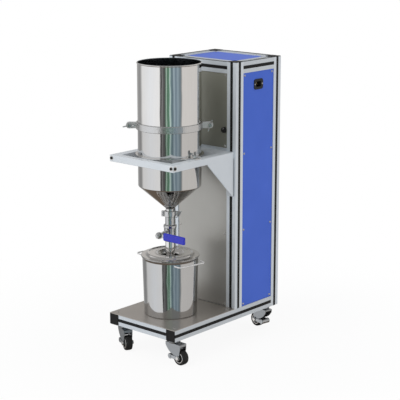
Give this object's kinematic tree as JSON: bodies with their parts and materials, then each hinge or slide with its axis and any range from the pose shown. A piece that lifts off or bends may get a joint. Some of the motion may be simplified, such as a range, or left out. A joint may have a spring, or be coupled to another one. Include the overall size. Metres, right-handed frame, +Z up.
{
  "type": "slurry filtering machine",
  "caption": "Floor-standing filtering vessel on a wheeled T-slot frame, with a drum clamp, a ball valve outlet and a lidded pot under it.",
  "frame": {"origin": "on the floor, under the middle of the machine's bounding box", "axes": "+Z up, -Y the front where the vessel and the pot are, +Y the column's back, +X the side with the mains inlet"},
  "size_m": [0.3582, 0.57, 1.023],
  "materials": {
    "aluminium_profile": "clear anodised T-slot profile",
    "cast_aluminium": "die-cast",
    "black_plastic": "moulded, black",
    "brushed_stainless": "brushed sheet",
    "blue_panel": "blue satin paint",
    "screw_steel": "plated",
    "brass_pins": "bare",
    "unit_grey": "grey paint",
    "white_paint": "white satin paint",
    "polished_stainless": "mirror-polished stainless steel",
    "clamp_steel": "cast stainless, tumbled",
    "valve_steel": "cast stainless steel",
    "lever_blue": "dipped vinyl sleeve",
    "gasket_rubber": "white silicone",
    "screen_steel": "perforated sheet",
    "caster_zinc": "zinc plated",
    "tyre_black": "moulded tyre on a plastic core",
    "pedal_zinc": "zinc plated"
  },
  "bodies": {
    "machine": {"base_front_rail": "aluminium_profile", "base_inner_rails": "aluminium_profile", "base_side_rails": "aluminium_profile", "bracket_bolts": "screw_steel", "caster_mounts": "caster_zinc", "clamp_bolts": "clamp_steel", "clamp_front_half": "clamp_steel", "clamp_rear_half": "clamp_steel", "column_mid_rail": "aluminium_profile", "corner_brackets": "cast_aluminium", "deck_plate": "brushed_stainless", "end_caps": "black_plastic", "filter_screen": "screen_steel", "front_panel_lower": "brushed_stainless", "front_panel_upper": "brushed_stainless", "front_posts": "aluminium_profile", "inlet_pins": "brass_pins", "lower_vessel": "polished_stainless", "outlet_clamp": "clamp_steel", "outlet_pipe": "polished_stainless", "panel_screws": "screw_steel", "panel_tabs": "screw_steel", "power_inlet": "black_plastic", "power_unit": "unit_grey", "rear_panel": "blue_panel", "rear_posts": "aluminium_profile", "side_panels": "blue_panel", "slot_strips": "black_plastic", "support_bracket": "white_paint", "support_ring": "polished_stainless", "top_panel": "blue_panel", "top_rails": "aluminium_profile", "upper_vessel": "polished_stainless", "valve_body": "valve_steel", "vessel_gasket": "gasket_rubber"},
    "valve": {"valve_ball": "valve_steel", "valve_lever": "valve_steel", "lever_sleeve": "lever_blue", "lever_nut": "screw_steel"},
    "pot": {"pot": "polished_stainless", "pot_handles": "polished_stainless"},
    "lid": {"pot_lid": "polished_stainless"},
    "knob": {"control_knob": "black_plastic"},
    "clamp_nut_left": {"clamp_nut_left": "clamp_steel"},
    "clamp_nut_right": {"clamp_nut_right": "clamp_steel"},
    "ring_nut_left": {"ring_nut_left": "clamp_steel"},
    "ring_nut_right": {"ring_nut_right": "clamp_steel"},
    "outlet_nut": {"outlet_nut": "clamp_steel"},
    "front_left_swivel": {"front_left_fork": "caster_zinc"},
    "front_left_wheel": {"front_left_wheel": "tyre_black"},
    "front_left_pedal": {"front_left_pedal": "pedal_zinc"},
    "front_right_swivel": {"front_right_fork": "caster_zinc"},
    "front_right_wheel": {"front_right_wheel": "tyre_black"},
    "front_right_pedal": {"front_right_pedal": "pedal_zinc"},
    "rear_left_swivel": {"rear_left_fork": "caster_zinc"},
    "rear_left_wheel": {"rear_left_wheel": "tyre_black"},
    "rear_left_pedal": {"rear_left_pedal": "pedal_zinc"},
    "rear_right_swivel": {"rear_right_fork": "caster_zinc"},
    "rear_right_wheel": {"rear_right_wheel": "tyre_black"},
    "rear_right_pedal": {"rear_right_pedal": "pedal_zinc"}
  },
  "joints": [
    {"name": "valve_turn", "type": "hinge", "parent": "machine", "child": "valve", "pos_m": [0, -0.135, 0.422], "axis": [0, -1, 0], "range_deg": [0, 90]},
    {"name": "pot_lift", "type": "slide", "parent": "machine", "child": "pot", "axis": [0, 0, 1], "range_m": [0, 0.015]},
    {"name": "lid_lift", "type": "slide", "parent": "pot", "child": "lid", "axis": [0, 0, 1], "range_m": [0, 0.04]},
    {"name": "knob_turn", "type": "hinge", "parent": "machine", "child": "knob", "pos_m": [0.102, 0.037, 0.776], "axis": [0, -1, 0], "range_deg": [-150, 150]},
    {"name": "clamp_nut_left_turn", "type": "hinge", "parent": "machine", "child": "clamp_nut_left", "pos_m": [-0.1033, -0.22801, 0.805], "axis": [0.6691, -0.7431, 0], "continuous": true},
    {"name": "ring_nut_left_turn", "type": "hinge", "parent": "machine", "child": "ring_nut_left", "pos_m": [-0.12552, -0.12402, 0.712], "axis": [0, 0, 1], "continuous": true},
    {"name": "clamp_nut_right_turn", "type": "hinge", "parent": "machine", "child": "clamp_nut_right", "pos_m": [0.1033, -0.04199, 0.805], "axis": [0.6691, -0.7431, 0], "continuous": true},
    {"name": "ring_nut_right_turn", "type": "hinge", "parent": "machine", "child": "ring_nut_right", "pos_m": [0.12552, -0.14598, 0.712], "axis": [0, 0, 1], "continuous": true},
    {"name": "outlet_nut_turn", "type": "hinge", "parent": "machine", "child": "outlet_nut", "pos_m": [0.02304, -0.11426, 0.491], "axis": [0.6691, -0.7431, 0], "continuous": true},
    {"name": "front_left_swivel_turn", "type": "hinge", "parent": "machine", "child": "front_left_swivel", "pos_m": [-0.12, -0.247, 0.08], "axis": [0, 0, 1], "continuous": true},
    {"name": "front_left_wheel_roll", "type": "hinge", "parent": "front_left_swivel", "child": "front_left_wheel", "pos_m": [-0.09175, -0.26202, 0.027], "axis": [0.4695, 0.8829, 0], "continuous": true},
    {"name": "front_left_brake_press", "type": "hinge", "parent": "front_left_swivel", "child": "front_left_pedal", "pos_m": [-0.09175, -0.26202, 0.027], "axis": [-0.4695, -0.8829, 0], "range_deg": [0, 18]},
    {"name": "front_right_swivel_turn", "type": "hinge", "parent": "machine", "child": "front_right_swivel", "pos_m": [0.12, -0.247, 0.08], "axis": [0, 0, 1], "continuous": true},
    {"name": "front_right_wheel_roll", "type": "hinge", "parent": "front_right_swivel", "child": "front_right_wheel", "pos_m": [0.15196, -0.24868, 0.027], "axis": [0.0523, 0.9986, 0], "continuous": true},
    {"name": "front_right_brake_press", "type": "hinge", "parent": "front_right_swivel", "child": "front_right_pedal", "pos_m": [0.15196, -0.24868, 0.027], "axis": [-0.0523, -0.9986, 0], "range_deg": [0, 18]},
    {"name": "rear_left_swivel_turn", "type": "hinge", "parent": "machine", "child": "rear_left_swivel", "pos_m": [-0.12, 0.247, 0.08], "axis": [0, 0, 1], "continuous": true},
    {"name": "rear_left_wheel_roll", "type": "hinge", "parent": "rear_left_swivel", "child": "rear_left_wheel", "pos_m": [-0.15196, 0.24868, 0.027], "axis": [-0.0523, -0.9986, 0], "continuous": true},
    {"name": "rear_left_brake_press", "type": "hinge", "parent": "rear_left_swivel", "child": "rear_left_pedal", "pos_m": [-0.15196, 0.24868, 0.027], "axis": [0.0523, 0.9986, 0], "range_deg": [0, 18]},
    {"name": "rear_right_swivel_turn", "type": "hinge", "parent": "machine", "child": "rear_right_swivel", "pos_m": [0.12, 0.247, 0.08], "axis": [0, 0, 1], "continuous": true},
    {"name": "rear_right_wheel_roll", "type": "hinge", "parent": "rear_right_swivel", "child": "rear_right_wheel", "pos_m": [0.08849, 0.25256, 0.027], "axis": [-0.1736, -0.9848, 0], "continuous": true},
    {"name": "rear_right_brake_press", "type": "hinge", "parent": "rear_right_swivel", "child": "rear_right_pedal", "pos_m": [0.08849, 0.25256, 0.027], "axis": [0.1736, 0.9848, 0], "range_deg": [0, 18]}
  ]
}
